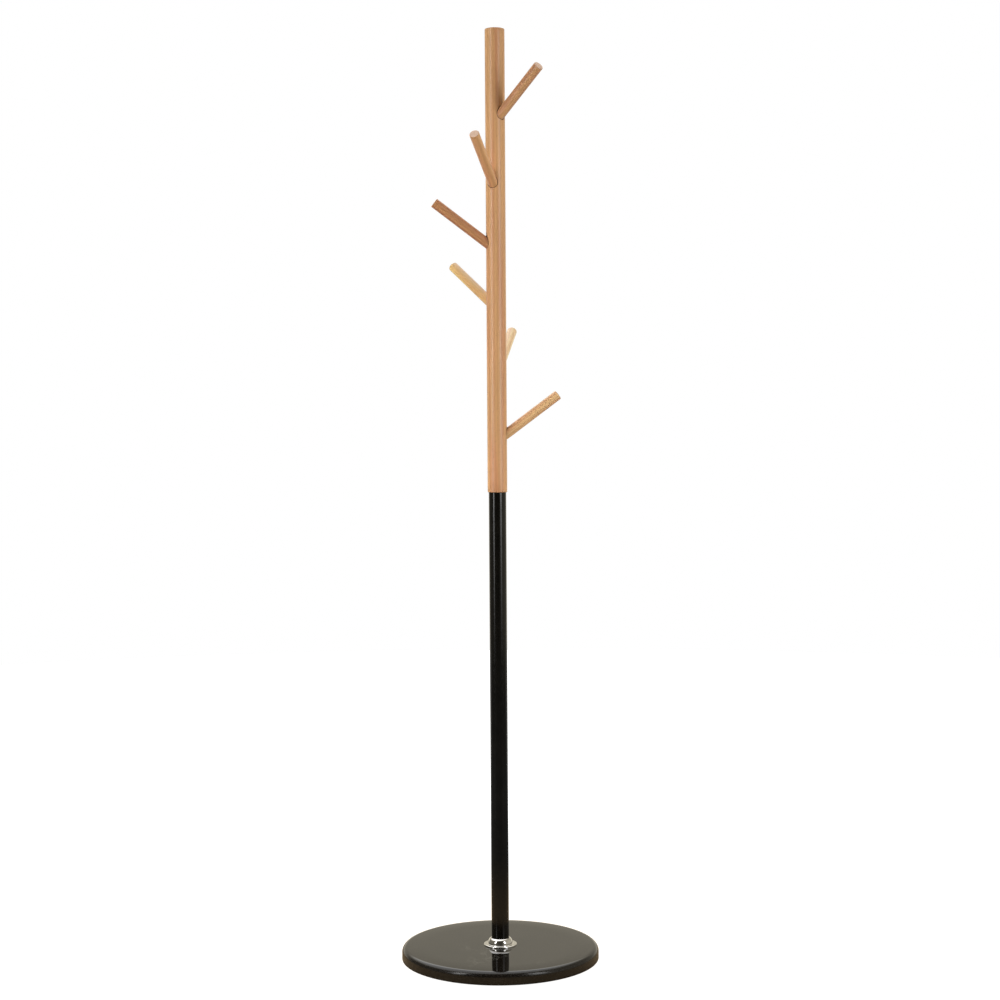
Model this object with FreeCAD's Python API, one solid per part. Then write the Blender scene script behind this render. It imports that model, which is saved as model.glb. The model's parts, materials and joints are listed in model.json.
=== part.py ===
import FreeCAD, Part
import math
import os

# Standing coat rack: a polished stone disc carries a steel tube, a wooden pole screws onto the
# tube, and six round wooden pegs rise out of the pole in a spiral. A loose pressed-metal collar
# hides the foot of the tube. Millimetres, +Z up. The origin is on the floor, on the tube's axis.
# Azimuths are seen from above: 0 points to the front (-Y) and 90 to the right (+X).

# ---- stone base ----
SLAB_DIAMETER = 362.0
SLAB_THICKNESS = 23.0
SLAB_TOP_ROUND = 10.0
SLAB_BOTTOM_ROUND = 1.0

# ---- pads under the base ----
PAD_COUNT = 5
PAD_DIAMETER = 34.0
PAD_THICKNESS = 2.0
PAD_EDGE_ROUND = 0.6
PAD_INSET = 14.0            # from the slab's rim to a pad's rim

# ---- steel tube ----
TUBE_DIAMETER = 32.0
TUBE_WALL = 1.2
TUBE_LENGTH = 834.0
TUBE_END_ROUND = 0.3

# ---- wooden pole ----
POLE_STEP = 2.0             # how far the pole stands out past the tube, all round
POLE_DIAMETER = TUBE_DIAMETER + 2 * POLE_STEP
POLE_LENGTH = 841.0
POLE_TOP_ROUND = 1.2
POLE_FOOT_ROUND = 1.8

# ---- pegs ----
PEG_DIAMETER = 18.0
PEG_SHOWN_LENGTH = 118.5    # along the peg's axis, from the pole's surface to the tip
PEG_TIP_ROUND = 1.0
PEG_LEAN = 53.5             # degrees away from straight up
PEG_SEAT_COVER = 1.6        # how deep the lowest edge of the peg's foot lies under the pole's surface
PEG_SOCKET_CLEARANCE = 0.9  # all round the peg, in its socket in the pole
TOP_PEG_DROP = 166.5        # from the pole's top down to the first peg's axis, on the pole's axis
LAST_PEG_RISE = 94.0        # from the pole's foot up to the last peg's axis, on the pole's axis
PEG_LAYOUT = [              # top to bottom: azimuth in degrees, shift down from even spacing
    (43.5, 0.0),
    (-19.0, 7.5),
    (-80.0, 0.5),
    (-135.0, -9.5),
    (-195.0, -6.5),
    (-262.0, 0.0),
]

# ---- dowel screw inside each peg ----
PEG_SCREW_DIAMETER = 6.0
PEG_SCREW_IN_POLE = 20.0
PEG_SCREW_IN_PEG = 26.0
PEG_SCREW_POINT = 4.0

# ---- threaded joints, drawn at the thread's outer diameter ----
THREAD_DIAMETER = 10.0
THREAD_CLEARANCE = 0.05     # all round a thread, in the hole that it turns in
THREAD_CHAMFER = 1.0
BOLT_GRIP_IN_PLUG = 18.0
BOLT_HEAD_FLATS = 17.0
BOLT_HEAD_HEIGHT = 6.4
BOLT_HEAD_CHAMFER = 0.9     # height taken off the head's corners
BOLT_HEAD_SINK = 1.1        # from the stone's underside up to the bolt's head
BOLT_HOLE_CLEARANCE = 1.0   # all round the bolt, in the stone
WASHER_DIAMETER = 34.0
WASHER_THICKNESS = 2.5
WASHER_ROOM = 4.0           # all round the washer, in its recess in the stone
SPRING_WASHER_BAND = 4.0
SPRING_WASHER_THICKNESS = 2.5
SPRING_WASHER_GAP = 2.0
PLUG_LENGTH = 25.0
PLUG_CLEARANCE = 0.03       # all round a plug, in the tube
PLUG_CHAMFER = 0.8
STUD_IN_PLUG = 22.0
STUD_IN_POLE = 30.0
INSERT_WALL = 2.5
INSERT_LENGTH = 26.0
INSERT_FLANGE_WIDTH = 2.0
INSERT_FLANGE_THICKNESS = 1.6
INSERT_CLEARANCE = 0.03     # all round the insert, in the wood
POLE_BORE_EXTRA = 6.0       # how far the pole's bore runs on past the stud

# ---- pressed collar at the tube's foot ----
COLLAR_CLEARANCE = 0.4      # all round the tube
COLLAR_HEIGHT = 13.5
COLLAR_SHEET = 0.8
COLLAR_RIM_WIDTH = 1.4      # flat ring round the tube, on top
COLLAR_DOME_WIDTH = 5.2     # from that ring out to the foot of the dome, where the dome stands upright
COLLAR_COVE = 0.9           # radius of the hollow curve from the dome to the flange
COLLAR_FLANGE_WIDTH = 7.25  # from the dome to the outside of the lip
COLLAR_LIP_HEIGHT = 2.5

# ---- what follows from those sizes ----
UP = FreeCAD.Vector(0, 0, 1)
slab_radius = SLAB_DIAMETER / 2
pad_radius = PAD_DIAMETER / 2
tube_radius = TUBE_DIAMETER / 2
tube_bore_radius = tube_radius - TUBE_WALL
pole_radius = POLE_DIAMETER / 2
peg_radius = PEG_DIAMETER / 2
screw_radius = PEG_SCREW_DIAMETER / 2
thread_radius = THREAD_DIAMETER / 2
thread_hole_radius = thread_radius + THREAD_CLEARANCE
insert_radius = thread_hole_radius + INSERT_WALL
collar_bore = tube_radius + COLLAR_CLEARANCE
collar_dome = collar_bore + COLLAR_RIM_WIDTH + COLLAR_DOME_WIDTH
# The pole stands on the tube's end, so its rounded foot leaves half of that ring flat.
pole_foot_round = min(POLE_FOOT_ROUND, (pole_radius - tube_bore_radius) / 2)

# Heights above the floor.
slab_bottom = PAD_THICKNESS
slab_top = slab_bottom + SLAB_THICKNESS
tube_top = slab_top + TUBE_LENGTH
pole_top = tube_top + POLE_LENGTH
head_bottom = slab_bottom + BOLT_HEAD_SINK
head_top = head_bottom + BOLT_HEAD_HEIGHT
washer_bottom = head_top + SPRING_WASHER_THICKNESS
recess_top = washer_bottom + WASHER_THICKNESS

# Distances along a peg's axis, from the pole's axis.
lean_sine = math.sin(math.radians(PEG_LEAN))
lean_cosine = math.cos(math.radians(PEG_LEAN))
peg_foot = (pole_radius - PEG_SEAT_COVER - peg_radius * lean_cosine) / lean_sine
peg_tip = pole_radius / lean_sine + PEG_SHOWN_LENGTH
socket_mouth = (2 * pole_radius + peg_radius) / lean_sine
screw_back = peg_foot - PEG_SCREW_IN_POLE
screw_front = peg_foot + PEG_SCREW_IN_PEG


def at_height(z):
    return FreeCAD.Vector(0, 0, z)


def cylinder(radius, bottom, top):
    return Part.makeCylinder(radius, top - bottom, at_height(bottom))


def ring(outer, inner, bottom, top):
    return cylinder(outer, bottom, top).cut(cylinder(inner, bottom, top))


def edges_at(shape, z, radius):
    """The circular edges of that radius at that height."""
    found = []
    for edge in shape.Edges:
        if not isinstance(edge.Curve, Part.Circle):
            continue
        same_height = abs(edge.Curve.Center.z - z) < 1e-6
        same_radius = abs(edge.Curve.Radius - radius) < 1e-6
        if same_height and same_radius:
            found.append(edge)
    return found


def rounded(shape, size, z, radius):
    return shape.makeFillet(size, edges_at(shape, z, radius))


def chamfered(shape, size, z, radius):
    return shape.makeChamfer(size, edges_at(shape, z, radius))


# ---- base ----

def base_slab():
    slab = cylinder(slab_radius, slab_bottom, slab_top)
    slab = rounded(slab, SLAB_TOP_ROUND, slab_top, slab_radius)
    slab = rounded(slab, SLAB_BOTTOM_ROUND, slab_bottom, slab_radius)
    recess = cylinder(WASHER_DIAMETER / 2 + WASHER_ROOM, slab_bottom, recess_top)
    bolt_hole = cylinder(thread_radius + BOLT_HOLE_CLEARANCE, slab_bottom, slab_top)
    return slab.cut([recess, bolt_hole])


def foot_pad(number):
    pad = cylinder(pad_radius, 0, PAD_THICKNESS)
    pad = rounded(pad, PAD_EDGE_ROUND, 0, pad_radius)
    reach = slab_radius - PAD_INSET - pad_radius
    angle = 2 * math.pi * number / PAD_COUNT
    pad.translate(FreeCAD.Vector(reach * math.sin(angle), -reach * math.cos(angle), 0))
    return pad


def base_washer():
    return ring(WASHER_DIAMETER / 2, thread_hole_radius, washer_bottom, recess_top)


def base_spring_washer():
    outer = thread_hole_radius + SPRING_WASHER_BAND
    washer = ring(outer, thread_hole_radius, head_top, washer_bottom)
    slot_corner = FreeCAD.Vector(0, -SPRING_WASHER_GAP / 2, head_top)
    slot = Part.makeBox(outer, SPRING_WASHER_GAP, SPRING_WASHER_THICKNESS, slot_corner)
    return washer.cut(slot)


def base_bolt():
    corner = BOLT_HEAD_FLATS / math.sqrt(3)
    points = []
    for side in range(7):
        angle = side * math.pi / 3
        points.append(FreeCAD.Vector(corner * math.cos(angle), corner * math.sin(angle), head_bottom))
    head = Part.Face(Part.makePolygon(points)).extrude(UP * BOLT_HEAD_HEIGHT)
    corner_disc = chamfered(cylinder(corner, head_bottom, head_top), BOLT_HEAD_CHAMFER, head_bottom, corner)
    head = head.common(corner_disc)
    tip = slab_top + BOLT_GRIP_IN_PLUG
    shank = chamfered(cylinder(thread_radius, head_top, tip), THREAD_CHAMFER, tip, thread_radius)
    return head.fuse(shank)


# ---- tube ----

def lower_tube():
    tube = ring(tube_radius, tube_bore_radius, slab_top, tube_top)
    tube = rounded(tube, TUBE_END_ROUND, slab_top, tube_radius)
    return rounded(tube, TUBE_END_ROUND, tube_top, tube_radius)


def tube_plug(bottom):
    radius = tube_bore_radius - PLUG_CLEARANCE
    top = bottom + PLUG_LENGTH
    plug = cylinder(radius, bottom, top)
    plug = chamfered(plug, PLUG_CHAMFER, bottom, radius)
    plug = chamfered(plug, PLUG_CHAMFER, top, radius)
    return plug.cut(cylinder(thread_hole_radius, bottom, top))


def joint_stud():
    bottom = tube_top - STUD_IN_PLUG
    top = tube_top + STUD_IN_POLE
    stud = cylinder(thread_radius, bottom, top)
    stud = chamfered(stud, THREAD_CHAMFER, bottom, thread_radius)
    return chamfered(stud, THREAD_CHAMFER, top, thread_radius)


def quarter_arc(start, centre, end):
    radius = (start - centre).Length
    middle = centre + (start + end - centre * 2).normalize() * radius
    return Part.Arc(start, middle, end).toShape()


def collar_body(inset):
    """The solid inside the collar's outer surface, drawn smaller all round by inset."""
    lip = collar_dome + COLLAR_FLANGE_WIDTH - COLLAR_LIP_HEIGHT / 2
    lip_round = COLLAR_LIP_HEIGHT / 2 - inset
    top = slab_top + COLLAR_HEIGHT - inset
    cove_centre = FreeCAD.Vector(collar_dome + COLLAR_COVE, 0, slab_top + COLLAR_LIP_HEIGHT + COLLAR_COVE)
    cove_start = FreeCAD.Vector(collar_dome - inset, 0, cove_centre.z)
    cove_end = FreeCAD.Vector(cove_centre.x, 0, slab_top + COLLAR_LIP_HEIGHT - inset)
    dome_rise = COLLAR_HEIGHT - COLLAR_LIP_HEIGHT - COLLAR_COVE
    dome_radius = (COLLAR_DOME_WIDTH ** 2 + dome_rise ** 2) / (2 * COLLAR_DOME_WIDTH)
    dome_centre = FreeCAD.Vector(collar_dome - dome_radius, 0, cove_centre.z)
    dome_turn = math.asin((top - dome_centre.z) / (dome_radius - inset))
    dome_start, dome_middle = [
        dome_centre + FreeCAD.Vector(math.cos(turn), 0, math.sin(turn)) * (dome_radius - inset)
        for turn in (dome_turn, dome_turn / 2)
    ]
    lip_start = FreeCAD.Vector(lip, 0, cove_end.z)
    lip_centre = FreeCAD.Vector(lip, 0, slab_top + COLLAR_LIP_HEIGHT / 2)
    lip_end = FreeCAD.Vector(lip + lip_round, 0, lip_centre.z)
    rim = FreeCAD.Vector(lip_end.x, 0, slab_top)
    outline = Part.Wire([
        Part.makeLine(at_height(top), dome_start),
        Part.Arc(dome_start, dome_middle, cove_start).toShape(),
        quarter_arc(cove_start, cove_centre, cove_end),
        Part.makeLine(cove_end, lip_start),
        quarter_arc(lip_start, lip_centre, lip_end),
        Part.makeLine(lip_end, rim),
        Part.makeLine(rim, at_height(slab_top)),
        Part.makeLine(at_height(slab_top), at_height(top)),
    ])
    return Part.Face(outline).revolve(FreeCAD.Vector(0, 0, 0), UP, 360)


def collar():
    bore = cylinder(collar_bore, slab_top, slab_top + COLLAR_HEIGHT)
    return collar_body(0).cut([collar_body(COLLAR_SHEET), bore])


# ---- pole and pegs ----

def pole_insert():
    top = tube_top + INSERT_LENGTH
    sleeve = chamfered(cylinder(insert_radius, tube_top, top), PLUG_CHAMFER, top, insert_radius)
    flange = cylinder(insert_radius + INSERT_FLANGE_WIDTH, tube_top, tube_top + INSERT_FLANGE_THICKNESS)
    return sleeve.fuse(flange).cut(cylinder(thread_hole_radius, tube_top, top))


def insert_recess():
    radius = insert_radius + INSERT_CLEARANCE
    sleeve = cylinder(radius, tube_top, tube_top + INSERT_LENGTH)
    flange = cylinder(radius + INSERT_FLANGE_WIDTH, tube_top, tube_top + INSERT_FLANGE_THICKNESS)
    stud_bore = cylinder(thread_hole_radius, tube_top, tube_top + STUD_IN_POLE + POLE_BORE_EXTRA)
    return [sleeve, flange, stud_bore]


def peg_heights():
    """The height at which each peg's axis meets the pole's axis, top to bottom."""
    spread = POLE_LENGTH - TOP_PEG_DROP - LAST_PEG_RISE
    pitch = spread / (len(PEG_LAYOUT) - 1)
    return [
        pole_top - TOP_PEG_DROP - number * pitch - shift
        for number, (azimuth, shift) in enumerate(PEG_LAYOUT)
    ]


def peg_places():
    """Where each peg's own frame sits: z runs up its axis from 0 on the pole's axis."""
    lean = FreeCAD.Rotation(FreeCAD.Vector(1, 0, 0), PEG_LEAN)
    places = []
    for (azimuth, shift), height in zip(PEG_LAYOUT, peg_heights()):
        turn = FreeCAD.Rotation(UP, azimuth)
        places.append(FreeCAD.Placement(at_height(height), turn.multiply(lean)))
    return places


def moved(shape, place):
    placed = shape.copy()
    placed.Placement = place
    return placed


def screw_hole(bottom, top):
    return cylinder(screw_radius + THREAD_CLEARANCE, bottom, top)


def upper_pole():
    pole = cylinder(pole_radius, tube_top, pole_top)
    pole = rounded(pole, POLE_TOP_ROUND, pole_top, pole_radius)
    pole = rounded(pole, pole_foot_round, tube_top, pole_radius)
    socket = cylinder(peg_radius + PEG_SOCKET_CLEARANCE, peg_foot, socket_mouth)
    hole = screw_hole(screw_back, peg_foot)
    cutters = insert_recess()
    for place in peg_places():
        cutters.append(moved(socket, place))
        cutters.append(moved(hole, place))
    return pole.cut(cutters)


def peg():
    rod = cylinder(peg_radius, peg_foot, peg_tip)
    rod = rounded(rod, PEG_TIP_ROUND, peg_tip, peg_radius)
    return rod.cut(screw_hole(peg_foot, screw_front))


def peg_screw():
    shank_front = screw_front - PEG_SCREW_POINT
    shank_back = screw_back + PEG_SCREW_POINT
    front_point = Part.makeCone(screw_radius, 0, PEG_SCREW_POINT, at_height(shank_front))
    back_point = Part.makeCone(0, screw_radius, PEG_SCREW_POINT, at_height(screw_back))
    return cylinder(screw_radius, shank_back, shank_front).fuse([front_point, back_point])


def pieces():
    made = {
        "base_slab": base_slab(),
        "base_bolt": base_bolt(),
        "base_spring_washer": base_spring_washer(),
        "base_washer": base_washer(),
        "tube_foot_plug": tube_plug(slab_top),
        "lower_tube": lower_tube(),
        "tube_top_plug": tube_plug(tube_top - PLUG_LENGTH),
        "collar": collar(),
        "joint_stud": joint_stud(),
        "pole_insert": pole_insert(),
        "upper_pole": upper_pole(),
    }
    for number in range(PAD_COUNT):
        made[f"foot_pad_{number + 1}"] = foot_pad(number)
    for number, place in enumerate(peg_places(), start=1):
        made[f"peg_{number}"] = moved(peg(), place)
        made[f"peg_screw_{number}"] = moved(peg_screw(), place)
    return made


os.makedirs("parts", exist_ok=True)
for name, shape in pieces().items():
    shape.exportStep(f"parts/{name}.step")
    box = shape.BoundBox
    print(f"{name}: {len(shape.Solids)} solid, valid {shape.isValid()}, {shape.Volume / 1000:.2f} cm3, "
          f"z {box.ZMin:.2f} to {box.ZMax:.2f}")
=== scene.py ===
import json
import math

import bmesh
import bpy
from mathutils import Matrix, Vector


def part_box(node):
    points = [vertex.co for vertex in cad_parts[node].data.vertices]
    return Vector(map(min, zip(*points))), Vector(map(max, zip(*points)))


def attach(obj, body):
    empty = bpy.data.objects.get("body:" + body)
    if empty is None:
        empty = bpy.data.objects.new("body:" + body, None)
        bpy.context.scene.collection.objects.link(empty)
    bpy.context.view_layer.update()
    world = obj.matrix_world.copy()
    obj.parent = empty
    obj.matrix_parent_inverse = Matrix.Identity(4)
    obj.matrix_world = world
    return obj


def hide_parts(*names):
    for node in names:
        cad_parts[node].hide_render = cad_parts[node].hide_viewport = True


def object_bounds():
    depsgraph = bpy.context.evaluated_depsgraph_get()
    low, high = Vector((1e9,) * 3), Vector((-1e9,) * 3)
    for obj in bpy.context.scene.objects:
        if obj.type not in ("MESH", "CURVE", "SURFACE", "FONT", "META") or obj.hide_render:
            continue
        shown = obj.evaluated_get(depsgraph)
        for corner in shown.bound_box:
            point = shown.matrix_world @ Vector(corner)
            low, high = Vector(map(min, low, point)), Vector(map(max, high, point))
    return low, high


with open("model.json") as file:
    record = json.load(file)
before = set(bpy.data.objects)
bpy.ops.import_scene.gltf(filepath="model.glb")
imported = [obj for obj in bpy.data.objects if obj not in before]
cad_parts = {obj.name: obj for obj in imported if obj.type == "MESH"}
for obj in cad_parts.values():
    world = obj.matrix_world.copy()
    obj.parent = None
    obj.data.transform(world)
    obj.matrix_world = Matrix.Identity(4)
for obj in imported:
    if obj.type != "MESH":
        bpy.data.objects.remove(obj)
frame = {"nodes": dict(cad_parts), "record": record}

# Standing coat rack, in metres. +Z is up, the camera looks along +Y, and the floor is at height 0.
# Every place comes from the CAD nodes' boxes and meshes and the record's mounts. The sizes below
# are the roundings, walls and threads that a box doesn't give, and the looks.

cad_low, cad_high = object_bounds()

# ---- stone base ----
SLAB_TOP_ROUND = 0.010
SLAB_BOTTOM_ROUND = 0.001
RECESS_RADIUS = 0.021
RECESS_EDGE = 0.0006
BOLT_HOLE_RADIUS = 0.006
EDGE_ROUGHNESS = 0.22       # the rounded edge is honed, the top is polished

# ---- pads ----
PAD_COUNT = 5
PAD_EDGE_ROUND = 0.0006

# ---- tube, plugs and threads ----
TUBE_WALL = 0.0012
TUBE_END_ROUND = 0.0003
THREAD_RADIUS = 0.005
THREAD_HOLE_RADIUS = 0.00505
THREAD_PITCH = 0.0015
THREAD_DEPTH = 0.0009
GROOVE_SLOPE = 1.25         # a thread's flanks: above 1 leaves its crest and its root flat
END_CHAMFER = 0.001
PLUG_CHAMFER = 0.0008
HEX_CHAMFER = 0.0009
HEX_FLAT_SHARE = 0.93       # radius of the flat circle under the head, over half its width across flats
HEX_CORNER_SHARE = 0.2247   # from that circle out to a corner, over half the width across flats
SPLIT_SLANT = 0.35          # how far the spring washer's split leans to each side, over its gap
SPRING_WASHER_GAP = 0.002
INSERT_WALL = 0.0025
INSERT_FLANGE_THICKNESS = 0.0016
INSERT_THREAD_PITCH = 0.003
INSERT_THREAD_DEPTH = 0.001
INSERT_CLEARANCE = 0.00003
BORE_PAST_STUD = 0.006

# ---- pole and pegs ----
POLE_TOP_ROUND = 0.0012
POLE_FOOT_ROUND = 0.0018
POLE_ROW_HEIGHT = 0.008     # height of one row of faces along the wood
TUBE_ROW_HEIGHT = 4 * POLE_ROW_HEIGHT
PEG_COUNT = 6
PEG_TIP_ROUND = 0.001
PEG_SOCKET_CLEARANCE = 0.0009
SCREW_RADIUS = 0.003
SCREW_HOLE_RADIUS = 0.00305
SCREW_POINT = 0.004
SCREW_PITCH = 0.0025
SCREW_DEPTH = 0.0008
CREASE_SHADE_REACH = 0.004        # how near wood must be to wood for the painted shade line at a peg's foot

# ---- collar ----
COLLAR_BORE_CLEARANCE = 0.0004
COLLAR_SHEET = 0.0008
COLLAR_RIM_WIDTH = 0.0014
COLLAR_DOME_WIDTH = 0.0052
COLLAR_COVE = 0.0009
COLLAR_LIP_HEIGHT = 0.0025
COLLAR_FLANGE_WIDTH = 0.00725

# ---- how finely round shapes are drawn ----
BIG_STEPS = 256
STEPS = 128
SMALL_STEPS = 48
ROWS_PER_PITCH = 8
ARC_STEPS = 8
SHARP_ANGLE = math.radians(32)
ON_AXIS = 1e-7              # a radius below this is a single point on the axis
SLAB_RINGS = (0.25, 0.5, 0.75)

# ---- camera ----
CAMERA_X = 0.0052
CAMERA_DISTANCE = 3.357
CAMERA_HEIGHT = 0.952
CAMERA_PITCH = math.radians(1.828)      # downwards
CAMERA_ROLL = math.radians(0.367)
CAMERA_LENS = 66.07
CAMERA_SENSOR = 36.0

# ---- floor and light ----
FLOOR_RADIUS = 5.0
FLOOR_TONE = 0.08           # what the floor gives back to the rack, beside and in front of it
FLOOR_BACK_TONE = 0.45      # the same, behind it
FLOOR_BACK_FROM = 0.5
FLOOR_BACK_TO = 1.6
FLOOR_NEAR = (0.31, 0.23, 0.14, 1.0)
FLOOR_NEAR_FROM = 0.26
FLOOR_NEAR_TO = 0.85
FLOOR_GLOW = 1.0            # what the eye sees on top of the light that falls on the floor
PANEL_DISTANCE = 2.1
PANEL_TOP = 2.3
PANELS = {                  # azimuth, width, height of its lower end, height it fades over, strength
    "left_panel": (-50.6, 0.36, 0.28, 0.70, 6.4),
    "right_panel": (46.0, 0.62, 0.25, 0.80, 3.9),
}
FILL_DISTANCE = 2.2
FILL_SIZE = 1.2
FILLS = {                   # azimuth, power
    "left_fill": (-64, 37),
    "right_fill": (62, 27),
}
FRONT_DARK = 0.04
LEFT_DIM = 0.16
RIGHT_DIM = 0.42
BACK_HORIZON = 1.0
BACK_PALE = 0.575
BACK_HIGH = 1.1
TOP_BRIGHT = 1.7
SKY_LEAN = 0.35             # how far the bright part overhead leans towards the back
SKY_TURN = 0.15             # how far it leans towards the left
WARM = (1.0, 0.93, 0.76, 1.0)
WHITE = (1.0, 1.0, 1.0, 1.0)

# ---- tones and patterns of the wood ----
POLE_TONE = (1.0, 1.0, 1.0)
POLE_SHIFT = (0.013, 0.021, 0.0)
POLE_TURN = 0.4
PEG_SHIFT = (0.017, -0.011, 0.23)           # how far each peg's pattern lies from the last one's
PEG_TURN = 0.9
# painted light and shade: each peg's wood is made paler or darker in red, green and blue for how the light
# falls on that peg
PEG_PAINTED_LIGHT = {
    1: (0.87, 0.87, 0.89),
    2: (0.99, 0.96, 0.93),
    3: (0.81, 0.71, 0.68),
    4: (1.18, 1.40, 1.25),
    5: (1.30, 1.85, 2.25),
    6: (1.15, 1.30, 1.36),
}

# ---- colours, as linear red, green, blue ----
BEECH_LIGHT = (0.725, 0.408, 0.183)
BEECH_PINK = (0.645, 0.307, 0.147)
BEECH_BROWN = (0.480, 0.217, 0.090)
RAY_BROWN = (0.20, 0.085, 0.035, 1.0)
# end grain colours, lightened past the wood's own as a painted sheen of the lacquer
SAWN_PALE_WITH_SHEEN = (0.84, 0.60, 0.46, 1.0)
SAWN_DARK_WITH_SHEEN = (0.66, 0.42, 0.29, 1.0)
# painted shade: the dark brown laid into the creases where a peg enters the pole
CREASE_PAINTED_SHADE = (0.075, 0.026, 0.010, 1.0)
STONE_DARK = (0.0036, 0.0027, 0.0019, 1.0)
STONE_PALE = (0.0075, 0.0056, 0.0041, 1.0)
CRYSTAL_GREY = (0.05, 0.046, 0.038, 1.0)
VEIN_GREY = (0.16, 0.155, 0.13, 1.0)
ENAMEL_DARK = (0.0028, 0.0024, 0.0018, 1.0)
ENAMEL_PALE = (0.0050, 0.0043, 0.0032, 1.0)
DUST_GREY = (0.05, 0.045, 0.04, 1.0)
CHROME_BRIGHT = (0.90, 0.89, 0.87, 1.0)
CHROME_DIM = (0.78, 0.76, 0.73, 1.0)
CHROME_SPECK = (0.42, 0.38, 0.33, 1.0)
ZINC_BLUE = (0.56, 0.58, 0.60, 1.0)
ZINC_YELLOW = (0.66, 0.62, 0.50, 1.0)
RUBBER_DARK = (0.016, 0.016, 0.016, 1.0)
RUBBER_DUSTY = (0.075, 0.072, 0.066, 1.0)

# ---- how fine each pattern is: steps to the metre, and its stretch along X, Y and Z ----
RING_SCALE = 62.0
STREAK_SCALE = 85
FIBRE_SCALE = 1100
DRIFT_SCALE = 11
RAY_SCALE = 1500
PORE_SCALE = 900
LACQUER_SCALE = 260
CRYSTAL_SCALE = 620.0
CLOUD_SCALE = 14
VEIN_SCALE = 9.0
VEIN_PATCH_SCALE = 7.0
SMUDGE_SCALE = 24
STONE_WAVE_SCALE = 30
ENAMEL_DRIFT_SCALE = 40
ENAMEL_DUST_SCALE = 1400
RUB_SCALE = 420
ORANGE_PEEL_SCALE = 330
HAZE_SCALE = 120
SPECK_SCALE = 1100
SWIRL_SCALE = 75
SPANGLE_SCALE = 210
TURNING_SCALE = 2400
RUBBER_GRAIN_SCALE = 1300
RUBBER_DUST_SCALE = 160
FLOOR_MOTTLE_SCALE = 1.2
RING_STRETCH = (1, 0.35, 0.06)
STREAK_STRETCH = (1, 1, 0.035)
FIBRE_STRETCH = (1, 1, 0.02)
DRIFT_STRETCH = (1, 1, 0.35)
RAY_STRETCH = (1, 1, 0.16)
RUB_STRETCH = (1, 1, 0.2)
TURNING_STRETCH = (0.1, 0.1, 1)
VEIN_STRETCH = (1.0, 0.45, 1.0)
VEIN_SHIFT = (0.31, 0.12, 0.0)
VEIN_TURN = 0.5
VEIN_PATCH_SHIFT = (0.08, 0.21, 0.0)


# ---------------------------------------------------------------- meshes

def arc(centre, radius, start, end):
    """Points of (radius, height) on a round, from one angle to another in degrees; 0 points outwards."""
    points = []
    for step in range(ARC_STEPS + 1):
        angle = math.radians(start + (end - start) * step / ARC_STEPS)
        points.append((centre[0] + radius * math.cos(angle), centre[1] + radius * math.sin(angle)))
    return points


def threaded(radius, start, end, pitch, depth):
    """Rows of a thread from one height to another, its groove fading in and out over one pitch."""
    count = max(2, round(abs(end - start) / pitch * ROWS_PER_PITCH))
    rows = []
    for step in range(count + 1):
        height = start + (end - start) * step / count
        fade = min(1.0, abs(height - start) / pitch, abs(height - end) / pitch)
        rows.append((radius, height, depth * fade, pitch))
    return rows


def groove(height, angle, pitch):
    """How deep the thread is at that place, from 0 on its crest to 1 in its root."""
    turn = (height / pitch - angle / math.tau) % 1.0
    return min(1.0, max(0.0, GROOVE_SLOPE * abs(2 * turn - 1) - (GROOVE_SLOPE - 1) / 2))


def lathe_row(mesh, point, steps):
    radius, height = point[:2]
    if radius < ON_AXIS:
        return [mesh.verts.new((0, 0, height))]
    row = []
    for step in range(steps):
        angle = math.tau * step / steps
        here = radius
        if len(point) > 2:
            here -= point[2] * groove(height, angle, point[3])
        row.append(mesh.verts.new((here * math.cos(angle), here * math.sin(angle), height)))
    return row


def join_rows(mesh, lower, upper):
    count = max(len(lower), len(upper))
    if count == 1:
        return
    for step in range(count):
        after = (step + 1) % count
        corners = [lower[step % len(lower)], lower[after % len(lower)]]
        corners += [upper[after % len(upper)], upper[step % len(upper)]]
        mesh.faces.new(list(dict.fromkeys(corners)))


def lathe_mesh(outline, steps):
    """A closed outline of (radius, height) points, turned about Z into a closed surface."""
    mesh = bmesh.new()
    rows = [lathe_row(mesh, point, steps) for point in outline]
    for lower, upper in zip(rows, rows[1:] + rows[:1]):
        join_rows(mesh, lower, upper)
    bmesh.ops.recalc_face_normals(mesh, faces=mesh.faces)
    return mesh


def as_object(name, mesh):
    data = bpy.data.meshes.new(name)
    mesh.to_mesh(data)
    mesh.free()
    piece = bpy.data.objects.new(name, data)
    bpy.context.scene.collection.objects.link(piece)
    return piece


def smooth(piece):
    piece.data.shade_smooth()
    piece.data.set_sharp_from_angle(angle=SHARP_ANGLE)
    return piece


def lathe(name, outline, steps=STEPS):
    return smooth(as_object(name, lathe_mesh(outline, steps)))


def subtract(piece, cutter):
    """Cuts one object out of another, for good."""
    modifier = piece.modifiers.new("cut", "BOOLEAN")
    modifier.operation = "DIFFERENCE"
    modifier.solver = "EXACT"
    modifier.object = cutter
    evaluated = piece.evaluated_get(bpy.context.evaluated_depsgraph_get())
    cut = bpy.data.meshes.new_from_object(evaluated)
    piece.modifiers.clear()
    piece.data = cut
    bpy.data.objects.remove(cutter)
    return piece


def place(piece, body, slot, material, *nodes):
    piece.data.materials.clear()
    piece.data.materials.append(material)
    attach(piece, body)
    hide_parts(*nodes)


# ---------------------------------------------------------------- where things are

slab_low, slab_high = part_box("base_slab")
tube_low, tube_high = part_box("lower_tube")
pole_low, pole_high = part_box("upper_pole")
stud_low, stud_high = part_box("joint_stud")
insert_low, insert_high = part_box("pole_insert")
washer_low, washer_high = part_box("base_washer")
tube_bore = tube_high.x - TUBE_WALL
mounts = {mount["name"]: mount for mount in frame["record"]["mounts"]}


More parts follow.
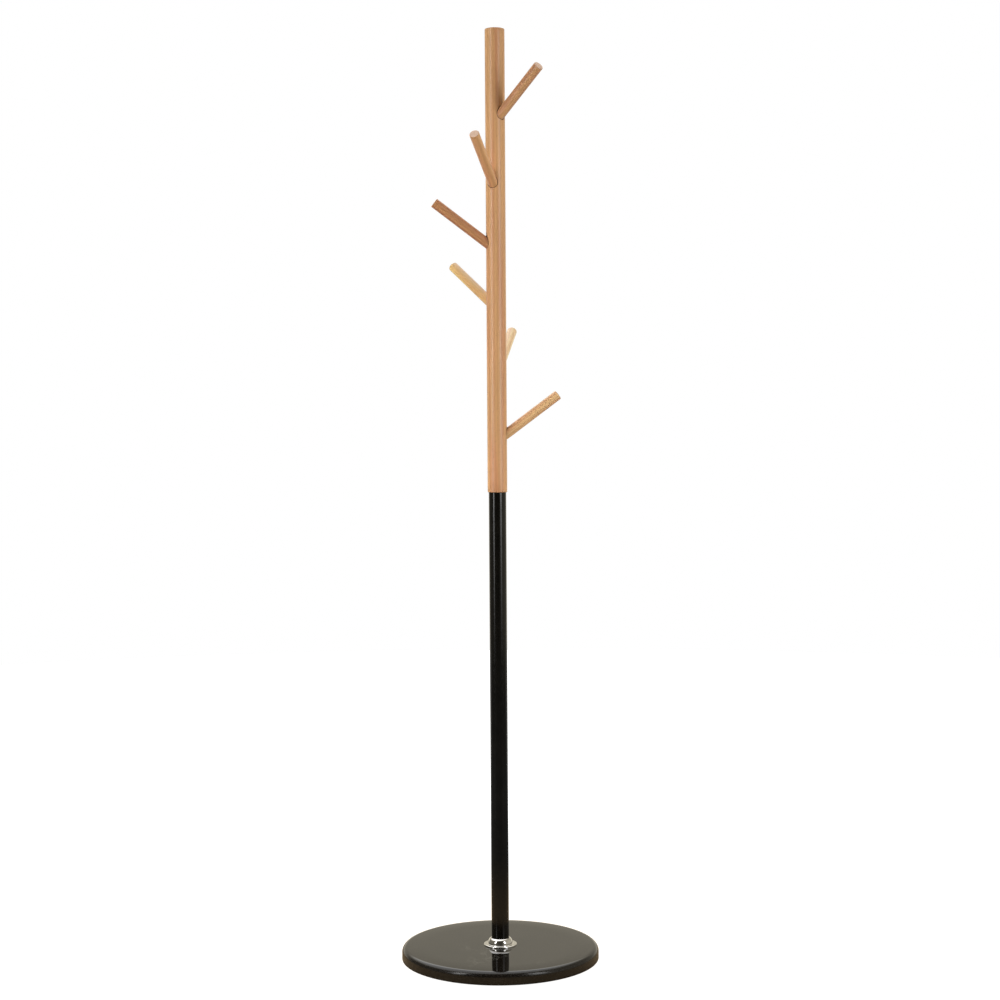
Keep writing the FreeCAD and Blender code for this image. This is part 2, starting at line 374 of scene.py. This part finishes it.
def peg_place(number):
    """A peg's own frame, with Z along the peg and 0 at its foot."""
    mount = mounts[f"peg_{number}_hang"]
    along = Vector(mount["axis"]).normalized()
    middle = Vector(mount["pos_m"])
    side = along.cross(Vector((0, 0, 1))).normalized()
    foot = min((vertex.co - middle).dot(along) for vertex in frame["nodes"][f"peg_{number}"].data.vertices)
    turn = Matrix((side, along.cross(side), along)).transposed().to_4x4()
    return Matrix.Translation(middle + along * foot) @ turn


def reach(node, place_matrix):
    """The lowest and highest point of a node along a peg's own Z."""
    inverse = place_matrix.inverted()
    heights = [(inverse @ vertex.co).z for vertex in frame["nodes"][node].data.vertices]
    return min(heights), max(heights)


# ---------------------------------------------------------------- materials

class Finish:
    """The node tree of a material or a world, with short calls for the nodes that they share."""

    def __init__(self, data):
        data.use_nodes = True
        self.material = data
        self.tree = data.node_tree
        self.surface = self.tree.nodes.get("Principled BSDF")

    def node(self, kind, inputs, **settings):
        made = self.tree.nodes.new(kind)
        for key, value in settings.items():
            setattr(made, key, value)
        for key, value in inputs.items():
            self.give(made.inputs[key], value)
        return made

    def give(self, socket, value):
        if isinstance(value, bpy.types.NodeSocket):
            self.tree.links.new(value, socket)
        else:
            socket.default_value = value

    def place(self, shift=(0, 0, 0), turn=0.0, stretch=(1, 1, 1)):
        """The piece's own coordinates in metres, shifted, turned about Z and stretched."""
        coordinates = self.node("ShaderNodeTexCoord", {}).outputs["Object"]
        inputs = {"Vector": coordinates, "Location": shift, "Rotation": (0, 0, turn), "Scale": stretch}
        return self.node("ShaderNodeMapping", inputs).outputs["Vector"]

    def noise(self, place, scale, detail=3.0, roughness=0.5, distortion=0.0):
        inputs = {"Vector": place, "Scale": scale, "Detail": detail}
        inputs |= {"Roughness": roughness, "Distortion": distortion}
        return self.node("ShaderNodeTexNoise", inputs).outputs["Fac"]

    def spread(self, value, low, high, to_low=0.0, to_high=1.0):
        """The value's range from low to high, taken to another range and held there."""
        inputs = {"Value": value, "From Min": low, "From Max": high, "To Min": to_low, "To Max": to_high}
        return self.node("ShaderNodeMapRange", inputs, interpolation_type="SMOOTHSTEP").outputs["Result"]

    def math(self, operation, first, second=0.0):
        made = self.node("ShaderNodeMath", {}, operation=operation)
        self.give(made.inputs[0], first)
        self.give(made.inputs[1], second)
        return made.outputs["Value"]

    def mix(self, share, first, second, blend="MIX"):
        inputs = {"Fac": share, "Color1": first, "Color2": second}
        return self.node("ShaderNodeMixRGB", inputs, blend_type=blend).outputs["Color"]

    def grey(self, level):
        inputs = {"Red": level, "Green": level, "Blue": level}
        return self.node("ShaderNodeCombineColor", inputs).outputs["Color"]

    def upright(self):
        """How far the piece's own surface faces up its Z, from -1 to 1."""
        facing = self.node("ShaderNodeTexCoord", {}).outputs["Normal"]
        return self.node("ShaderNodeSeparateXYZ", {"Vector": facing}).outputs["Z"]

    def bump(self, height, strength, distance):
        inputs = {"Height": height, "Strength": strength, "Distance": distance}
        self.give(self.surface.inputs["Normal"], self.node("ShaderNodeBump", inputs).outputs["Normal"])

    def set(self, **inputs):
        for key, value in inputs.items():
            self.give(self.surface.inputs[key.replace("_", " ").title().replace("Ior", "IOR")], value)


def new_finish(name):
    return Finish(bpy.data.materials.new(name))


def toned(shade, tone):
    """A colour with its red, green and blue each taken up or down by the tone."""
    return (*(part * share for part, share in zip(shade, tone)), 1.0)


def beech(name, shift, turn, tone):
    """Lacquered beech: soft growth rings, pink and yellow streaks, fine fibres and short dark rays, with
    painted shade in the creases at the pegs' feet, end grain lightened by a painted sheen, and each piece's
    tone, which for the pegs is painted light and shade.
    """
    finish = new_finish(name)
    plain = finish.place(shift, turn)
    rings = finish.node(
        "ShaderNodeTexWave",
        {"Vector": finish.place(shift, turn, RING_STRETCH), "Scale": RING_SCALE, "Distortion": 3.6,
         "Detail": 2.0, "Detail Scale": 0.8, "Detail Roughness": 0.5},
        bands_direction="X",
    ).outputs["Fac"]
    streaks = finish.noise(finish.place(shift, turn, STREAK_STRETCH), STREAK_SCALE, 2.0, 0.5)
    fibres = finish.noise(finish.place(shift, turn, FIBRE_STRETCH), FIBRE_SCALE, 3.0, 0.6)
    drift = finish.noise(finish.place(shift, turn, DRIFT_STRETCH), DRIFT_SCALE, 2.0)
    rays = finish.noise(finish.place(shift, turn, RAY_STRETCH), RAY_SCALE, 1.0)
    light = toned(BEECH_LIGHT, tone)
    pink = toned(BEECH_PINK, tone)
    brown = toned(BEECH_BROWN, tone)
    wood = finish.mix(finish.spread(streaks, 0.38, 0.62), light, pink)
    wood = finish.mix(finish.spread(rings, 0.30, 1.0, 0.0, 0.30), wood, brown)
    wood = finish.mix(finish.spread(fibres, 0.42, 0.75, 0.0, 0.22), wood, brown)
    wood = finish.mix(finish.spread(rays, 0.64, 0.74, 0.0, 0.40), wood, RAY_BROWN)
    # the end faces: real end grain with pores, in colours lightened by a painted sheen
    end_grain = finish.spread(finish.math("ABSOLUTE", finish.upright()), 0.75, 0.95, 0.0, 0.75)
    pores = finish.noise(plain, PORE_SCALE, 2.0, 0.6)
    sawn_with_sheen = finish.mix(finish.spread(pores, 0.35, 0.70), SAWN_PALE_WITH_SHEEN, SAWN_DARK_WITH_SHEEN)
    wood = finish.mix(end_grain, wood, sawn_with_sheen)
    # painted shade: the wood turns dark brown where other parts are near, as in the creases at the pegs'
    # feet
    close = finish.node("ShaderNodeAmbientOcclusion", {"Distance": CREASE_SHADE_REACH}, samples=8).outputs["AO"]
    wood = finish.mix(finish.spread(close, 0.38, 0.78, 0.95, 0.0), wood, CREASE_PAINTED_SHADE)
    shade = finish.spread(drift, 0.3, 0.7, 0.92, 1.06)
    finish.set(base_color=finish.mix(1.0, wood, finish.grey(shade), "MULTIPLY"))
    finish.set(roughness=finish.spread(fibres, 0.3, 0.7, 0.40, 0.54), ior=1.45)
    finish.set(coat_weight=0.65, coat_roughness=0.22)
    height = finish.math("SUBTRACT", fibres, finish.spread(rays, 0.62, 0.74, 0.0, 0.5))
    finish.bump(finish.math("ADD", height, finish.noise(plain, LACQUER_SCALE, 2.0)), 0.05, 0.0002)
    return finish.material


def black_stone():
    """Polished black stone: fine crystals, a few thin pale veins, and smudges in the polish."""
    finish = new_finish("polished_black_stone")
    plain = finish.place()
    crystals = finish.node("ShaderNodeTexVoronoi", {"Vector": plain, "Scale": CRYSTAL_SCALE})
    grey = finish.node("ShaderNodeSeparateColor", {"Color": crystals.outputs["Color"]}).outputs["Red"]
    clouds = finish.noise(plain, CLOUD_SCALE, 4.0, 0.6, 0.6)
    stone = finish.mix(finish.spread(clouds, 0.3, 0.75), STONE_DARK, STONE_PALE)
    stone = finish.mix(finish.spread(grey, 0.72, 1.0, 0.0, 0.25), stone, CRYSTAL_GREY)
    bent = finish.noise(finish.place(VEIN_SHIFT, VEIN_TURN, VEIN_STRETCH), VEIN_SCALE, 5.0, 0.6, 0.9)
    line = finish.math("ABSOLUTE", finish.math("SUBTRACT", bent, 0.5))
    patch = finish.spread(finish.noise(finish.place(VEIN_PATCH_SHIFT), VEIN_PATCH_SCALE, 2.0), 0.52, 0.66)
    vein = finish.math("MULTIPLY", finish.spread(line, 0.0, 0.010, 0.30, 0.0), patch)
    stone = finish.mix(vein, stone, VEIN_GREY)
    smudge = finish.noise(plain, SMUDGE_SCALE, 4.0, 0.65, 0.4)
    finish.set(base_color=stone, ior=1.5)
    polish = finish.spread(smudge, 0.35, 0.75, 0.012, 0.035)
    finish.set(roughness=finish.spread(finish.upright(), 0.80, 0.99, EDGE_ROUGHNESS, polish))
    finish.bump(finish.noise(plain, STONE_WAVE_SCALE, 1.0), 0.05, 0.0002)
    return finish.material


def black_paint():
    """Glossy black stove enamel: a faint orange peel, dust in the gloss and a few fine rubs."""
    finish = new_finish("black_enamel")
    plain = finish.place()
    drift = finish.noise(plain, ENAMEL_DRIFT_SCALE, 3.0)
    dust = finish.noise(plain, ENAMEL_DUST_SCALE, 2.0)
    rubs = finish.noise(finish.place(stretch=RUB_STRETCH), RUB_SCALE, 3.0, 0.65)
    paint = finish.mix(finish.spread(drift, 0.3, 0.7), ENAMEL_DARK, ENAMEL_PALE)
    paint = finish.mix(finish.spread(dust, 0.66, 0.80, 0.0, 0.25), paint, DUST_GREY)
    finish.set(base_color=paint, ior=1.5)
    finish.set(roughness=finish.spread(rubs, 0.35, 0.8, 0.11, 0.24))
    finish.bump(finish.noise(plain, ORANGE_PEEL_SCALE, 1.5), 0.06, 0.0002)
    return finish.material


def chrome():
    """Bright chrome plate over pressed steel, with a soft swirl of polishing and a few dull specks."""
    finish = new_finish("bright_chrome")
    plain = finish.place()
    haze = finish.noise(plain, HAZE_SCALE, 3.0, 0.6)
    specks = finish.noise(plain, SPECK_SCALE, 2.0)
    metal = finish.mix(finish.spread(haze, 0.3, 0.75), CHROME_BRIGHT, CHROME_DIM)
    metal = finish.mix(finish.spread(specks, 0.68, 0.80, 0.0, 0.5), metal, CHROME_SPECK)
    finish.set(base_color=metal, metallic=1.0)
    finish.set(roughness=finish.spread(haze, 0.3, 0.8, 0.05, 0.13))
    finish.bump(finish.noise(plain, SWIRL_SCALE, 1.0), 0.10, 0.0003)
    return finish.material


def zinc():
    """Zinc-plated steel: a dull bluish spangle with faint yellow, and turning marks."""
    finish = new_finish("zinc_plate")
    plain = finish.place()
    cloud = finish.noise(plain, SPANGLE_SCALE, 3.0, 0.6)
    marks = finish.noise(finish.place(stretch=TURNING_STRETCH), TURNING_SCALE, 2.0)
    metal = finish.mix(finish.spread(cloud, 0.35, 0.7), ZINC_BLUE, ZINC_YELLOW)
    finish.set(base_color=metal, metallic=1.0)
    finish.set(roughness=finish.spread(cloud, 0.3, 0.75, 0.28, 0.46))
    finish.bump(marks, 0.12, 0.0001)
    return finish.material


def rubber():
    """Dark rubber with a fine moulded grain and pale dust."""
    finish = new_finish("dark_rubber")
    plain = finish.place()
    grain = finish.noise(plain, RUBBER_GRAIN_SCALE, 3.0, 0.6)
    dust = finish.noise(plain, RUBBER_DUST_SCALE, 4.0, 0.65)
    skin = finish.mix(finish.spread(dust, 0.45, 0.8, 0.0, 0.55), RUBBER_DARK, RUBBER_DUSTY)
    finish.set(base_color=skin)
    finish.set(roughness=finish.spread(grain, 0.3, 0.7, 0.68, 0.88))
    finish.bump(grain, 0.35, 0.0003)
    return finish.material


# ---------------------------------------------------------------- the base

def stone_disc(material):
    radius, bottom, top = slab_high.x, slab_low.z, slab_high.z
    outline = [(BOLT_HOLE_RADIUS, washer_high.z), (BOLT_HOLE_RADIUS, top)]
    for share in SLAB_RINGS:
        outline.append((BOLT_HOLE_RADIUS + (radius - SLAB_TOP_ROUND) * share, top))
    upper = (radius - SLAB_TOP_ROUND, top - SLAB_TOP_ROUND)
    lower = (radius - SLAB_BOTTOM_ROUND, bottom + SLAB_BOTTOM_ROUND)
    outline += reversed(arc(upper, SLAB_TOP_ROUND, 0, 90))
    outline += reversed(arc(lower, SLAB_BOTTOM_ROUND, -90, 0))
    outline += [(RECESS_RADIUS + RECESS_EDGE, bottom), (RECESS_RADIUS, bottom + RECESS_EDGE)]
    outline += [(RECESS_RADIUS, washer_high.z)]
    place(lathe("stone_disc", outline, BIG_STEPS), "stand", "black_stone", material, "base_slab")


def floor_pads(material):
    for number in range(1, PAD_COUNT + 1):
        low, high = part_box(f"foot_pad_{number}")
        radius = (high.x - low.x) / 2
        height = high.z - low.z
        outline = [(0, height), (radius, height)]
        outline += reversed(arc((radius - PAD_EDGE_ROUND, PAD_EDGE_ROUND), PAD_EDGE_ROUND, -90, 0))
        outline += [(0, 0)]
        pad = lathe(f"rubber_pad_{number}", outline, SMALL_STEPS)
        pad.location = ((low.x + high.x) / 2, (low.y + high.y) / 2, low.z)
        place(pad, "stand", "pad_rubber", material, f"foot_pad_{number}")


def flat_washer(material):
    outline = [
        (THREAD_HOLE_RADIUS, washer_low.z),
        (washer_high.x, washer_low.z),
        (washer_high.x, washer_high.z),
        (THREAD_HOLE_RADIUS, washer_high.z),
    ]
    washer = lathe("flat_washer", outline, STEPS)
    place(washer, "stand", "zinc_steel", material, "base_washer")


def spring_washer(material):
    """A lock washer: a flat ring whose slanting split leaves two sharp ends."""
    low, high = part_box("base_spring_washer")
    outer = high.y
    gap = SPRING_WASHER_GAP / outer
    corners = [
        (THREAD_HOLE_RADIUS, low.z, -1),
        (outer, low.z, -1),
        (outer, high.z, 1),
        (THREAD_HOLE_RADIUS, high.z, 1),
    ]
    mesh = bmesh.new()
    sections = []
    for step in range(STEPS + 1):
        angle = gap / 2 + (math.tau - gap) * step / STEPS
        section = []
        for radius, height, side in corners:
            at = angle + SPLIT_SLANT * gap * side
            section.append(mesh.verts.new((radius * math.cos(at), radius * math.sin(at), height)))
        sections.append(section)
    for here, there in zip(sections, sections[1:]):
        join_rows(mesh, here, there)
    mesh.faces.new(sections[0])
    mesh.faces.new(sections[-1])
    bmesh.ops.recalc_face_normals(mesh, faces=mesh.faces)
    washer = smooth(as_object("spring_washer", mesh))
    place(washer, "stand", "zinc_steel", material, "base_spring_washer")


def hexagon(apothem, angle):
    """The distance from the middle to a hexagon's side, at that angle."""
    return apothem / math.cos((angle + math.pi / 6) % (math.pi / 3) - math.pi / 6)


def base_bolt(material):
    low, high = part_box("base_bolt")
    head_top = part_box("base_spring_washer")[0].z
    apothem = -low.y
    flat = apothem * HEX_FLAT_SHARE
    corner = apothem * HEX_CORNER_SHARE
    mesh = bmesh.new()
    thread_end = high.z - END_CHAMFER
    shank = [(THREAD_RADIUS, head_top)]
    shank += threaded(THREAD_RADIUS, head_top + THREAD_PITCH, thread_end, THREAD_PITCH, THREAD_DEPTH)
    shank += [(THREAD_RADIUS - END_CHAMFER, high.z), (0, high.z)]
    rows = [[mesh.verts.new((0, 0, low.z))], lathe_row(mesh, (flat, low.z), STEPS)]
    for height in (low.z, head_top):
        row = []
        for step in range(STEPS):
            angle = math.tau * step / STEPS
            radius = hexagon(apothem, angle + math.pi / 6)
            rise = (radius - flat) * HEX_CHAMFER / corner if height == low.z else 0
            row.append(mesh.verts.new((radius * math.cos(angle), radius * math.sin(angle), height + rise)))
        rows.append(row)
    rows += [lathe_row(mesh, point, STEPS) for point in shank]
    for lower, upper in zip(rows, rows[1:]):
        join_rows(mesh, lower, upper)
    bmesh.ops.recalc_face_normals(mesh, faces=mesh.faces)
    place(smooth(as_object("hex_bolt", mesh)), "stand", "zinc_steel", material, "base_bolt")


# ---------------------------------------------------------------- the tube and what joins it

def steel_tube(material):
    radius, bottom, top = tube_high.x, tube_low.z, tube_high.z
    edge = radius - TUBE_END_ROUND
    outline = [(tube_bore, top), (tube_bore, bottom)]
    outline += arc((edge, bottom + TUBE_END_ROUND), TUBE_END_ROUND, -90, 0)
    rows = round((top - bottom) / TUBE_ROW_HEIGHT)
    for row in range(1, rows):
        outline.append((radius, bottom + (top - bottom) * row / rows))
    outline += arc((edge, top - TUBE_END_ROUND), TUBE_END_ROUND, 0, 90)
    place(lathe("steel_tube", outline, STEPS), "stand", "black_tube", material, "lower_tube")


def tube_plugs(material):
    for end in ("foot", "top"):
        low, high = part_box(f"tube_{end}_plug")
        outline = threaded(THREAD_HOLE_RADIUS, high.z, low.z, THREAD_PITCH, THREAD_DEPTH)
        outline += [(high.x - PLUG_CHAMFER, low.z), (high.x, low.z + PLUG_CHAMFER)]
        outline += [(high.x, high.z - PLUG_CHAMFER), (high.x - PLUG_CHAMFER, high.z)]
        plug = lathe(f"threaded_plug_{end}", outline, SMALL_STEPS)
        place(plug, "stand", "zinc_steel", material, f"tube_{end}_plug")


def threaded_stud(material):
    low, high = stud_low.z, stud_high.z
    outline = [(0, low), (THREAD_RADIUS - END_CHAMFER, low)]
    outline += threaded(THREAD_RADIUS, low + END_CHAMFER, high - END_CHAMFER, THREAD_PITCH, THREAD_DEPTH)
    outline += [(THREAD_RADIUS - END_CHAMFER, high), (0, high)]
    place(lathe("threaded_stud", outline, SMALL_STEPS), "stand", "zinc_steel", material, "joint_stud")


def threaded_insert(material):
    """The insert in the pole's foot: a flange below, a coarse thread outside, a fine one inside."""
    bottom, top = insert_low.z, insert_high.z
    sleeve = THREAD_HOLE_RADIUS + INSERT_WALL
    outline = threaded(THREAD_HOLE_RADIUS, top, bottom, THREAD_PITCH, THREAD_DEPTH)
    outline += [(insert_high.x, bottom), (insert_high.x, bottom + INSERT_FLANGE_THICKNESS)]
    thread_bottom = bottom + INSERT_FLANGE_THICKNESS
    outline += threaded(sleeve, thread_bottom, top - PLUG_CHAMFER, INSERT_THREAD_PITCH, INSERT_THREAD_DEPTH)
    outline += [(sleeve - PLUG_CHAMFER, top)]
    place(lathe("threaded_insert", outline, SMALL_STEPS), "stand", "zinc_steel", material, "pole_insert")


def pressed_collar(material):
    """A flat ring, a round dome down to an upright foot, and a flange with a rounded lip."""
    base = slab_high.z
    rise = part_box("collar")[1].z - base
    bore = tube_high.x + COLLAR_BORE_CLEARANCE
    dome = bore + COLLAR_RIM_WIDTH + COLLAR_DOME_WIDTH
    dome_rise = rise - COLLAR_LIP_HEIGHT - COLLAR_COVE
    dome_radius = (COLLAR_DOME_WIDTH ** 2 + dome_rise ** 2) / (2 * COLLAR_DOME_WIDTH)
    dome_centre = (dome - dome_radius, base + COLLAR_LIP_HEIGHT + COLLAR_COVE)
    cove_centre = (dome + COLLAR_COVE, dome_centre[1])
    lip_round = COLLAR_LIP_HEIGHT / 2
    lip_centre = (dome + COLLAR_FLANGE_WIDTH - lip_round, base + lip_round)

    def skin(inset):
        turn = math.degrees(math.asin((dome_rise - inset) / (dome_radius - inset)))
        points = [(bore, base + rise - inset)]
        points += reversed(arc(dome_centre, dome_radius - inset, 0, turn))
        points += arc(cove_centre, COLLAR_COVE + inset, 180, 270)
        points += reversed(arc(lip_centre, lip_round - inset, 0, 90))
        points += [(lip_centre[0] + lip_round - inset, base)]
        return points

    outline = skin(0) + list(reversed(skin(COLLAR_SHEET)))
    place(lathe("pressed_collar", outline, BIG_STEPS), "collar", "chrome", material, "collar")


# ---------------------------------------------------------------- the pole and its pegs

def peg_cutter(places, foot):
    """The six sockets with their screw holes, as one object to cut out of the pole."""
    joined = bmesh.new()
    for number, matrix in places.items():
        node_low, node_high = reach(f"peg_screw_{number}", matrix)
        peg_radius = mounts[f"peg_{number}_hang"]["dims"]["r_mm"] / 1000
        socket = peg_radius + PEG_SOCKET_CLEARANCE
        outline = [(0, node_low), (SCREW_HOLE_RADIUS, node_low), (SCREW_HOLE_RADIUS, 0), (socket, 0)]
        outline += [(socket, foot), (0, foot)]
        one = lathe_mesh(outline, STEPS)
        one.transform(matrix)
        data = bpy.data.meshes.new("socket")
        one.to_mesh(data)
        one.free()
        joined.from_mesh(data)
    return as_object("peg_sockets", joined)


def wooden_pole(places, material):
    radius, bottom, top = pole_high.x, pole_low.z, pole_high.z
    sleeve = THREAD_HOLE_RADIUS + INSERT_WALL + INSERT_CLEARANCE
    flange = insert_high.x + INSERT_CLEARANCE
    flange_top = bottom + INSERT_FLANGE_THICKNESS
    bore_top = stud_high.z + BORE_PAST_STUD
    outline = [(flange, bottom), (flange, flange_top), (sleeve, flange_top), (sleeve, insert_high.z)]
    outline += [(THREAD_HOLE_RADIUS, insert_high.z), (THREAD_HOLE_RADIUS, bore_top)]
    outline += [(0, bore_top), (0, top)]
    outline += reversed(arc((radius - POLE_TOP_ROUND, top - POLE_TOP_ROUND), POLE_TOP_ROUND, 0, 90))
    straight_top = top - POLE_TOP_ROUND
    straight_bottom = bottom + POLE_FOOT_ROUND
    rows = round((straight_top - straight_bottom) / POLE_ROW_HEIGHT)
    for row in range(1, rows):
        outline.append((radius, straight_top + (straight_bottom - straight_top) * row / rows))
    outline += reversed(arc((radius - POLE_FOOT_ROUND, straight_bottom), POLE_FOOT_ROUND, -90, 0))
    pole = as_object("wooden_pole", lathe_mesh(outline, STEPS))
    subtract(pole, peg_cutter(places, 4 * radius))
    place(smooth(pole), "stand", "beech", material, "upper_pole")


def wooden_peg(number, matrix, material):
    foot, tip = reach(f"peg_{number}", matrix)
    screw_tip = reach(f"peg_screw_{number}", matrix)[1]
    radius = mounts[f"peg_{number}_hang"]["dims"]["r_mm"] / 1000
    outline = [(0, screw_tip), (SCREW_HOLE_RADIUS, screw_tip), (SCREW_HOLE_RADIUS, foot), (radius, foot)]
    straight_top = tip - PEG_TIP_ROUND
    rows = round((straight_top - foot) / POLE_ROW_HEIGHT)
    for row in range(1, rows):
        outline.append((radius, foot + (straight_top - foot) * row / rows))
    outline += arc((radius - PEG_TIP_ROUND, straight_top), PEG_TIP_ROUND, 0, 90)
    outline += [(radius / 2, tip), (0, tip)]
    peg = lathe(f"wooden_peg_{number}", outline, STEPS)
    peg.matrix_world = matrix
    place(peg, "stand", "beech", material, f"peg_{number}")


def dowel_screw(number, matrix, material):
    back, front = reach(f"peg_screw_{number}", matrix)
    outline = [(0, back)]
    outline += threaded(SCREW_RADIUS, back + SCREW_POINT, front - SCREW_POINT, SCREW_PITCH, SCREW_DEPTH)
    outline += [(0, front)]
    screw = lathe(f"dowel_screw_{number}", outline, SMALL_STEPS)
    screw.matrix_world = matrix
    place(screw, "stand", "zinc_steel", material, f"peg_screw_{number}")


# ---------------------------------------------------------------- camera, floor and light

def camera():
    data = bpy.data.cameras.new("camera")
    data.lens = CAMERA_LENS
    data.sensor_width = CAMERA_SENSOR
    made = bpy.data.objects.new("camera", data)
    made.location = (CAMERA_X, -CAMERA_DISTANCE, CAMERA_HEIGHT)
    made.rotation_euler = (math.pi / 2 - CAMERA_PITCH, CAMERA_ROLL, 0)
    bpy.context.scene.collection.objects.link(made)
    bpy.context.scene.camera = made


def pale_floor():
    """A plain pale floor, clear from underneath so that the rack's underside can be looked at.
    Only the eye sees its glow, so it looks pale and stays dim in the rack's gloss."""
    finish = new_finish("pale_floor")
    mottle = finish.noise(finish.place(), FLOOR_MOTTLE_SCALE, 3.0)
    behind = finish.node("ShaderNodeSeparateXYZ", {"Vector": finish.place()}).outputs["Y"]
    tone = finish.spread(behind, FLOOR_BACK_FROM, FLOOR_BACK_TO, FLOOR_TONE, FLOOR_BACK_TONE)
    tone = finish.math("MULTIPLY", tone, finish.spread(mottle, 0.3, 0.7, 0.97, 1.03))
    paint = finish.grey(tone)
    away = finish.node("ShaderNodeVectorMath", {"Vector": finish.place()}, operation="LENGTH")
    near = finish.spread(away.outputs["Value"], FLOOR_NEAR_FROM, FLOOR_NEAR_TO, 1.0, 0.0)
    paint = finish.mix(near, paint, FLOOR_NEAR)
    finish.set(base_color=paint, roughness=0.9, specular_ior_level=0.0)
    seen = finish.node("ShaderNodeLightPath", {}).outputs["Is Camera Ray"]
    glow = finish.node("ShaderNodeEmission", {"Strength": finish.math("MULTIPLY", seen, FLOOR_GLOW)})
    lit = finish.node("ShaderNodeAddShader", {})
    clear = finish.node("ShaderNodeBsdfTransparent", {})
    under = finish.node("ShaderNodeNewGeometry", {}).outputs["Backfacing"]
    sided = finish.node("ShaderNodeMixShader", {"Fac": under})
    links = finish.tree.links
    links.new(finish.surface.outputs["BSDF"], lit.inputs[0])
    links.new(glow.outputs["Emission"], lit.inputs[1])
    links.new(lit.outputs["Shader"], sided.inputs[1])
    links.new(clear.outputs["BSDF"], sided.inputs[2])
    links.new(sided.outputs["Shader"], finish.tree.nodes["Material Output"].inputs["Surface"])
    mesh = bmesh.new()
    mesh.faces.new(lathe_row(mesh, (FLOOR_RADIUS, 0), STEPS))
    floor = as_object("floor", mesh)
    floor.data.materials.append(finish.material)


def panel(name, azimuth, width, bottom, fade, strength):
    """An upright soft panel facing the rack, dimmer towards its lower end.
    Azimuth 0 is in front, 90 on the right."""
    finish = new_finish(name)
    height = finish.node("ShaderNodeSeparateXYZ", {"Vector": finish.place()}).outputs["Z"]
    glow = finish.spread(height, bottom, bottom + fade, 0.0, strength)
    light = finish.node("ShaderNodeEmission", {"Color": WHITE, "Strength": glow})
    surface = finish.tree.nodes["Material Output"].inputs["Surface"]
    finish.tree.links.new(light.outputs["Emission"], surface)
    finish.tree.nodes.remove(finish.surface)
    mesh = bmesh.new()
    half = width / 2
    corners = ((-half, bottom), (half, bottom), (half, PANEL_TOP), (-half, PANEL_TOP))
    mesh.faces.new([mesh.verts.new((x, 0, z)) for x, z in corners])
    made = as_object(name, mesh)
    made.data.materials.append(finish.material)
    turn = math.radians(azimuth)
    made.location = (PANEL_DISTANCE * math.sin(turn), -PANEL_DISTANCE * math.cos(turn), 0)
    made.rotation_euler = (0, 0, turn)
    made.visible_camera = False


def fill(name, azimuth, power):
    """A soft light that fills the shade but shows in no gloss."""
    data = bpy.data.lights.new(name, "AREA")
    data.shape = "DISK"
    data.size = FILL_SIZE
    data.energy = power
    made = bpy.data.objects.new(name, data)
    turn = math.radians(azimuth)
    away = Vector((math.sin(turn), -math.cos(turn), 0))
    middle = Vector((0, 0, (cad_low.z + cad_high.z) / 2))
    made.location = middle + away * FILL_DISTANCE
    made.rotation_euler = away.to_track_quat("Z", "Y").to_euler()
    made.visible_camera = False
    made.visible_glossy = False
    bpy.context.scene.collection.objects.link(made)


def room():
    """The room's own light: dim in front, paler behind and on the right, bright overhead.
    The eye sees it white."""
    world = bpy.data.worlds.new("room")
    bpy.context.scene.world = world
    finish = Finish(world)
    direction = finish.node("ShaderNodeTexCoord", {}).outputs["Generated"]
    parts = finish.node("ShaderNodeSeparateXYZ", {"Vector": direction})
    across, along, up = (parts.outputs[axis] for axis in ("X", "Y", "Z"))
    left = finish.spread(across, -0.9, -0.2, LEFT_DIM - FRONT_DARK, 0.0)
    right = finish.spread(across, 0.2, 0.9, 0.0, RIGHT_DIM - FRONT_DARK)
    front = finish.math("ADD", finish.math("ADD", left, right), FRONT_DARK)
    behind = finish.spread(along, 0.55, 0.88)
    back = finish.math("ADD", finish.spread(up, 0.10, 0.20, BACK_HORIZON, BACK_PALE),
                       finish.spread(up, 0.36, 0.60, 0.0, BACK_HIGH - BACK_PALE))
    low = finish.math("ADD", finish.math("MULTIPLY", front, finish.math("SUBTRACT", 1.0, behind)),
                      finish.math("MULTIPLY", behind, back))
    lean = finish.math("ADD", up, finish.math("MULTIPLY", along, SKY_LEAN))
    lean = finish.math("SUBTRACT", lean, finish.math("MULTIPLY", across, SKY_TURN))
    overhead = finish.spread(lean, 0.70, 0.95)
    level = finish.math("ADD", low, finish.math("MULTIPLY", overhead, TOP_BRIGHT))
    seen = finish.node("ShaderNodeLightPath", {}).outputs["Is Camera Ray"]
    tint = finish.mix(finish.math("MAXIMUM", overhead, seen), WARM, WHITE)
    background = world.node_tree.nodes["Background"]
    finish.give(background.inputs["Strength"], finish.math("MAXIMUM", level, seen))
    finish.give(background.inputs["Color"], tint)


def studio():
    camera()
    pale_floor()
    room()
    for name, values in PANELS.items():
        panel(name, *values)
    for name, values in FILLS.items():
        fill(name, *values)
    bpy.context.scene.view_settings.view_transform = "Standard"


# ---------------------------------------------------------------- the whole rack

def rack():
    studio()
    steel = zinc()
    stone_disc(black_stone())
    floor_pads(rubber())
    flat_washer(steel)
    spring_washer(steel)
    base_bolt(steel)
    steel_tube(black_paint())
    tube_plugs(steel)
    threaded_stud(steel)
    threaded_insert(steel)
    pressed_collar(chrome())
    places = {number: peg_place(number) for number in range(1, PEG_COUNT + 1)}
    wooden_pole(places, beech("beech_pole", POLE_SHIFT, POLE_TURN, POLE_TONE))
    for number, matrix in places.items():
        shift = tuple(part * number for part in PEG_SHIFT)
        wood = beech(f"beech_peg_{number}", shift, PEG_TURN * number, PEG_PAINTED_LIGHT[number])
        wooden_peg(number, matrix, wood)
        dowel_screw(number, matrix, steel)


rack()
